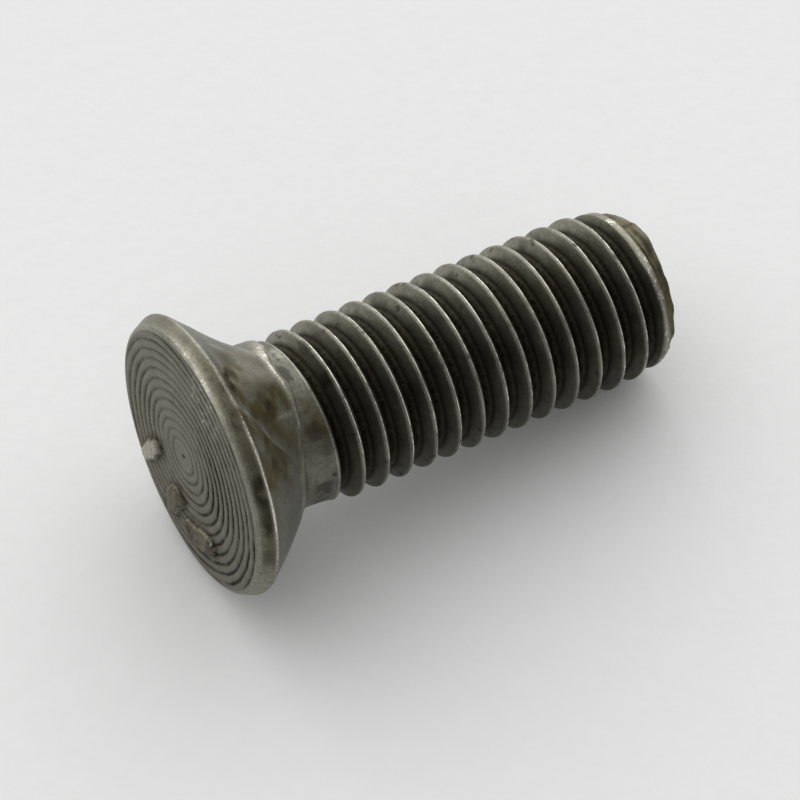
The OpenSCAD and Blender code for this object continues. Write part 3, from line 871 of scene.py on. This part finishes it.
def new_group(name, inputs, outputs):
    """An empty shader group with named sockets; each is (name, Float, Color or Vector)."""
    group = bpy.data.node_groups.new(name, "ShaderNodeTree")
    for in_out, sockets in (("INPUT", inputs), ("OUTPUT", outputs)):
        for word, kind in sockets:
            group.interface.new_socket(word, in_out=in_out, socket_type="NodeSocket" + kind)
    return group, group.nodes.new("NodeGroupInput"), group.nodes.new("NodeGroupOutput")


def maths(tree, operation, a, b=None, c=None, clamp=False):
    """A Math node; each input is a socket or a number."""
    node = tree.nodes.new("ShaderNodeMath")
    node.operation, node.use_clamp = operation, clamp
    for socket, value in zip(node.inputs, (a, b, c)):
        if isinstance(value, bpy.types.NodeSocket):
            tree.links.new(value, socket)
        elif value is not None:
            socket.default_value = value
    return node.outputs[0]


def blend_colour(tree, share, a, b):
    """Colour a where share is 0 and b where it is 1."""
    node = tree.nodes.new("ShaderNodeMix")
    node.data_type = "RGBA"
    for socket, value in ((node.inputs[0], share), (node.inputs[6], a), (node.inputs[7], b)):
        if isinstance(value, bpy.types.NodeSocket):
            tree.links.new(value, socket)
        else:
            socket.default_value = value if isinstance(value, float) else (*value, 1.0)
    return node.outputs[2]


def noise(tree, where, scale, detail, stretch=None):
    """A Noise Texture at so many cells a metre, 0..1."""
    if stretch is not None:
        mapping = tree.nodes.new("ShaderNodeMapping")
        mapping.inputs["Scale"].default_value = stretch
        tree.links.new(where, mapping.inputs["Vector"])
        where = mapping.outputs["Vector"]
    node = tree.nodes.new("ShaderNodeTexNoise")
    node.inputs["Scale"].default_value = scale
    node.inputs["Detail"].default_value = detail
    node.inputs["Roughness"].default_value = NOISE_ROUGHNESS
    tree.links.new(where, node.inputs["Vector"])
    return node.outputs["Fac"]


def mask(tree, name):
    """One of the numbers that the shapes leave on their points."""
    node = tree.nodes.new("ShaderNodeAttribute")
    node.attribute_name = name
    return node.outputs["Fac"]


def object_place(tree):
    """The place on the piece, in metres from the frame's origin."""
    return tree.nodes.new("ShaderNodeTexCoord").outputs["Object"]


def worn_steel_group():
    """Colour and roughness of oiled steel from its masks: the dark finish, greyer where rubbed or
    painted lighter and clouded by noise, olive film and dirt or painted shade over it, rust at the
    end, and bare steel where the wear mask beats a fine noise; that bare steel also draws the
    painted highlights."""
    name = "worn steel"
    if name in bpy.data.node_groups:
        return bpy.data.node_groups[name]
    group, source, sink = new_group(
        name,
        [("Place", "Vector")] + [(word.capitalize(), "Float") for word in MASKS]
        + [(word, "Color") for word in ("Dark", "Film", "Bare_and_highlight", "Brown", "Grey", "Soot_and_shade")]
        + [(word, "Float") for word in ("Dark roughness", "Bare roughness", "Clouding", "Grain")],
        [("Colour", "Color"), ("Roughness", "Float")])
    i = source.outputs
    clouds = noise(group, i["Place"], 700.0, 5.0)
    specks = noise(group, i["Place"], 5200.0, 3.0)
    grains = noise(group, i["Place"], 11000.0, 2.0)
    streaks = noise(group, i["Place"], 2600.0, 4.0)
    light = maths(group, "MULTIPLY_ADD", maths(group, "SUBTRACT", clouds, 0.5), i["Clouding"], 1.0)
    grit = maths(group, "SUBTRACT", maths(group, "ADD", specks, grains), 1.0)
    light = maths(group, "MULTIPLY_ADD", grit, i["Grain"], light)
    grey_share = maths(group, "MULTIPLY", i["Rubbed"],
                       maths(group, "MULTIPLY_ADD", streaks, 0.9, 0.55), clamp=True)
    ground = blend_colour(group, grey_share, i["Dark"], i["Grey"])
    tint = group.nodes.new("ShaderNodeVectorMath")
    tint.operation = "SCALE"
    group.links.new(ground, tint.inputs[0])
    group.links.new(light, tint.inputs["Scale"])
    film_share = maths(group, "MULTIPLY", i["Patina"],
                       maths(group, "MULTIPLY_ADD", streaks, 1.2, 0.35), clamp=True)
    tone = blend_colour(group, film_share, tint.outputs[0], i["Film"])
    rust_share = maths(group, "MULTIPLY", i["Rust"],
                       maths(group, "MULTIPLY_ADD", maths(group, "SUBTRACT", streaks, 0.45), 5.0,
                             0.35, clamp=True), clamp=True)
    tone = blend_colour(group, rust_share, tone, i["Brown"])
    dirt_and_shade_share = maths(group, "MULTIPLY", i["Dirt"],
                       maths(group, "MULTIPLY_ADD", specks, 0.8, 0.55), clamp=True)
    tone = blend_colour(group, dirt_and_shade_share, tone, i["Soot_and_shade"])
    scuffs_and_highlights = maths(group, "MULTIPLY_ADD", maths(group, "ADD", specks, grains), -0.5, i["Wear"])
    bare_and_highlight_share = maths(group, "MULTIPLY", scuffs_and_highlights, 9.0, clamp=True)
    bare_and_highlight_share = maths(group, "MULTIPLY", bare_and_highlight_share,
                       maths(group, "GREATER_THAN", i["Wear"], 0.02), clamp=True)
    tone = blend_colour(group, bare_and_highlight_share, tone, i["Bare_and_highlight"])
    rough_tone = maths(group, "MULTIPLY_ADD", maths(group, "SUBTRACT", clouds, 0.5), 0.18,
                       i["Dark roughness"])
    rough_tone = maths(group, "MULTIPLY_ADD", dirt_and_shade_share, 0.25, rough_tone)
    rough_tone = maths(group, "MULTIPLY_ADD", rust_share, 0.2, rough_tone)
    mix = group.nodes.new("ShaderNodeMix")
    group.links.new(bare_and_highlight_share, mix.inputs[0])
    group.links.new(rough_tone, mix.inputs[2])
    group.links.new(i["Bare roughness"], mix.inputs[3])
    group.links.new(tone, sink.inputs["Colour"])
    group.links.new(mix.outputs[0], sink.inputs["Roughness"])
    return group


def steel_material(name, metal, clouding, grit, grain_height, line_height, stretch):
    """Steel with the shared worn steel group and a bump of grain plus fine lines, which are noise
    squeezed along the direction that stretch makes long."""
    finish = bpy.context.scene.bolt_finish
    material = bpy.data.materials.new(name)
    material.use_nodes = True
    tree = material.node_tree
    shader = tree.nodes["Principled BSDF"]
    place = object_place(tree)
    worn = tree.nodes.new("ShaderNodeGroup")
    worn.node_tree = worn_steel_group()
    tree.links.new(place, worn.inputs["Place"])
    for name in MASKS:
        tree.links.new(mask(tree, name), worn.inputs[name.capitalize()])
    for socket, tone in (("Dark", finish.dark_tone), ("Film", finish.patina_tone),
                         ("Bare_and_highlight", finish.bare_and_highlight_tone), ("Brown", finish.rust_tone),
                         ("Grey", finish.rubbed_and_lit_tone), ("Soot_and_shade", finish.dirt_and_shade_tone)):
        worn.inputs[socket].default_value = (*tone, 1.0)
    worn.inputs["Dark roughness"].default_value = finish.dark_roughness
    worn.inputs["Bare roughness"].default_value = finish.bare_roughness
    worn.inputs["Clouding"].default_value = clouding
    worn.inputs["Grain"].default_value = grit
    tree.links.new(worn.outputs["Colour"], shader.inputs["Base Color"])
    tree.links.new(worn.outputs["Roughness"], shader.inputs["Roughness"])
    shader.inputs["Metallic"].default_value = metal
    shader.inputs["Specular IOR Level"].default_value = 0.2
    grain = noise(tree, place, 4200.0, 4.0)
    lines = noise(tree, place, 1500.0, 3.0, stretch)
    height = maths(tree, "MULTIPLY_ADD", lines, line_height / grain_height, grain)
    node = tree.nodes.new("ShaderNodeBump")
    node.inputs["Strength"].default_value = 1.0
    node.inputs["Distance"].default_value = grain_height
    tree.links.new(height, node.inputs["Height"])
    tree.links.new(node.outputs["Normal"], shader.inputs["Normal"])
    return material


def head_material():
    metal = bpy.context.scene.bolt_finish.head_metal
    return steel_material("turned steel", metal, clouding=0.9, grit=1.2, grain_height=0.015 * MM,
                          line_height=0.006 * MM, stretch=(1.0, 1.0, 6.0))


def shank_material():
    metal = bpy.context.scene.bolt_finish.shank_metal
    return steel_material("rolled steel", metal, clouding=1.2, grit=1.0, grain_height=0.010 * MM,
                          line_height=0.006 * MM, stretch=(1.0, 1.0, 5.0))


# Stage

def floor_frame(stage):
    """Turn and centre of the ground: its plane touches the rim and the last full crests on the side
    that lies down. Local Z is the way up and local X runs along the bolt."""
    head, shank = bpy.context.scene.bolt_head, bpy.context.scene.bolt_shank
    a = stage.floor_direction + math.radians(NEAR_DIRECTION)
    out = Vector((math.cos(a), math.sin(a), 0.0))
    low_head = out * (head.rim_diameter / 2) + Vector((0, 0, head.rim_height))
    low_end = out * (shank.crest_diameter / 2) \
        + Vector((0, 0, shank.bolt_length - shank.fall_length))
    along = (low_end - low_head).normalized()
    up = (-out - along * (-out).dot(along)).normalized()
    across = up.cross(along)
    turn = Matrix((along, across, up)).transposed()
    return turn, (low_head + low_end) / 2


def make_floor(stage):
    """Pale ground, flat, with a fine fibrous bump; from below the camera looks through it."""
    turn, centre = floor_frame(stage)
    half = stage.floor_size / 2
    corners = [centre + turn @ Vector(v) for v in ((-half, -half, 0), (half, -half, 0),
                                                    (half, half, 0), (-half, half, 0))]
    mesh = bpy.data.meshes.new("ground")
    mesh.from_pydata([tuple(c) for c in corners], [], [(0, 1, 2, 3)])
    ground = bpy.data.objects.new("ground", mesh)
    bpy.context.scene.collection.objects.link(ground)
    material = bpy.data.materials.new("pale ground")
    material.use_nodes = True
    tree = material.node_tree
    shader, output = tree.nodes["Principled BSDF"], tree.nodes["Material Output"]
    place = object_place(tree)
    fibres = noise(tree, place, 900.0, 4.0)
    weight = maths(tree, "MULTIPLY_ADD", maths(tree, "SUBTRACT", fibres, 0.5), 0.04, 1.0)
    tint = tree.nodes.new("ShaderNodeVectorMath")
    tint.operation = "SCALE"
    tint.inputs[0].default_value = tuple(stage.floor_tone)
    tree.links.new(weight, tint.inputs["Scale"])
    tree.links.new(tint.outputs[0], shader.inputs["Base Color"])
    shader.inputs["Roughness"].default_value = 0.9
    shader.inputs["Specular IOR Level"].default_value = 0.1
    node = tree.nodes.new("ShaderNodeBump")
    node.inputs["Distance"].default_value = 0.03 * MM
    tree.links.new(fibres, node.inputs["Height"])
    tree.links.new(node.outputs["Normal"], shader.inputs["Normal"])
    clear = tree.nodes.new("ShaderNodeBsdfTransparent")
    mixer = tree.nodes.new("ShaderNodeMixShader")
    below = maths(tree, "MULTIPLY", tree.nodes.new("ShaderNodeNewGeometry").outputs["Backfacing"],
                  tree.nodes.new("ShaderNodeLightPath").outputs["Is Camera Ray"])
    tree.links.new(below, mixer.inputs[0])
    tree.links.new(shader.outputs[0], mixer.inputs[1])
    tree.links.new(clear.outputs[0], mixer.inputs[2])
    tree.links.new(mixer.outputs[0], output.inputs["Surface"])
    mesh.materials.append(material)
    return ground


def make_room(stage):
    """Soft light from all round, strongest from low behind the bolt, a little to the left, and
    weakest from the camera's side: strength = front + (back - front) * ((c + reach) / (1 + reach))
    ^ fall, where c is the cosine between a direction and the level way to the brightest wall."""
    camera_turn = Euler(stage.camera_turn, "XYZ").to_matrix()
    up = floor_frame(stage)[0].col[2].copy()
    back = camera_turn @ Vector((0.0, 1.0, 0.0))
    back = (back - up * back.dot(up)).normalized()
    back = Matrix.Rotation(stage.light_lift, 3, back.cross(up)) @ back
    back = Matrix.Rotation(stage.light_turn, 3, up) @ back
    world = bpy.data.worlds.new("room")
    bpy.context.scene.world = world
    world.use_nodes = True
    tree = world.node_tree
    light = tree.nodes["Background"]
    towards = tree.nodes.new("ShaderNodeVectorMath")
    towards.operation = "DOT_PRODUCT"
    towards.inputs[1].default_value = back
    tree.links.new(tree.nodes.new("ShaderNodeTexCoord").outputs["Generated"], towards.inputs[0])
    lit = maths(tree, "ADD", towards.outputs["Value"], stage.light_reach)
    lit = maths(tree, "DIVIDE", lit, 1.0 + stage.light_reach, clamp=True)
    lit = maths(tree, "POWER", lit, stage.light_fall)
    strength = maths(tree, "MULTIPLY_ADD", lit, stage.back_light - stage.front_light,
                     stage.front_light)
    tree.links.new(strength, light.inputs["Strength"])
    light.inputs["Color"].default_value = (1.0, 1.0, 1.0, 1.0)


def make_camera(stage):
    camera = bpy.data.cameras.new("camera")
    camera.lens = stage.lens
    camera.sensor_width = 36.0
    camera.clip_start, camera.clip_end = 0.01, 10.0
    stand = bpy.data.objects.new("camera", camera)
    stand.location = stage.camera_place
    stand.rotation_euler = stage.camera_turn
    bpy.context.scene.collection.objects.link(stand)
    bpy.context.scene.camera = stand
    bpy.context.scene.view_settings.view_transform = "Standard"


# Operators, panel and run

class BOLT_OT_head(bpy.types.Operator):
    """Build the head: turned face, rounded edge, band, cone and square neck"""
    bl_idname = "bolt.head"
    bl_label = "Head and neck"

    def execute(self, context):
        build_head(context.scene.bolt_head)
        return {"FINISHED"}


class BOLT_OT_shank(bpy.types.Operator):
    """Build the shank: plain collar, rolled thread and bevelled end"""
    bl_idname = "bolt.shank"
    bl_label = "Threaded shank"

    def execute(self, context):
        build_shank(context.scene.bolt_shank)
        return {"FINISHED"}


class BOLT_OT_stage(bpy.types.Operator):
    """Set the stage: pale ground, soft room light and camera"""
    bl_idname = "bolt.stage"
    bl_label = "Stage"

    def execute(self, context):
        stage = context.scene.bolt_stage
        make_camera(stage)
        make_floor(stage)
        make_room(stage)
        return {"FINISHED"}


class BOLT_PT_panel(bpy.types.Panel):
    """Buttons and sizes of the plough bolt"""
    bl_idname = "BOLT_PT_panel"
    bl_label = "Plough bolt"
    bl_space_type = "VIEW_3D"
    bl_region_type = "UI"
    bl_category = "Plough bolt"

    def draw(self, context):
        scene = context.scene
        for operator, group in (("bolt.head", scene.bolt_head), ("bolt.shank", scene.bolt_shank),
                                ("bolt.stage", scene.bolt_stage), (None, scene.bolt_finish)):
            box = self.layout.box()
            if operator:
                box.operator(operator)
            for name in group.bl_rna.properties.keys():
                if name not in ("rna_type", "name"):
                    box.prop(group, name)


GROUPS = (("bolt_head", HeadSizes), ("bolt_shank", ShankSizes), ("bolt_finish", Finish),
          ("bolt_stage", Stage))
CLASSES = (BOLT_OT_head, BOLT_OT_shank, BOLT_OT_stage, BOLT_PT_panel)


def register():
    for name, group in GROUPS:
        bpy.utils.register_class(group)
        setattr(bpy.types.Scene, name, PointerProperty(type=group))
    for item in CLASSES:
        bpy.utils.register_class(item)


def unregister():
    for item in reversed(CLASSES):
        bpy.utils.unregister_class(item)
    for name, group in reversed(GROUPS):
        delattr(bpy.types.Scene, name)
        bpy.utils.unregister_class(group)


def main():
    register()
    bpy.ops.bolt.stage()
    bpy.ops.bolt.head()
    bpy.ops.bolt.shank()


if __name__ == "__main__":
    main()
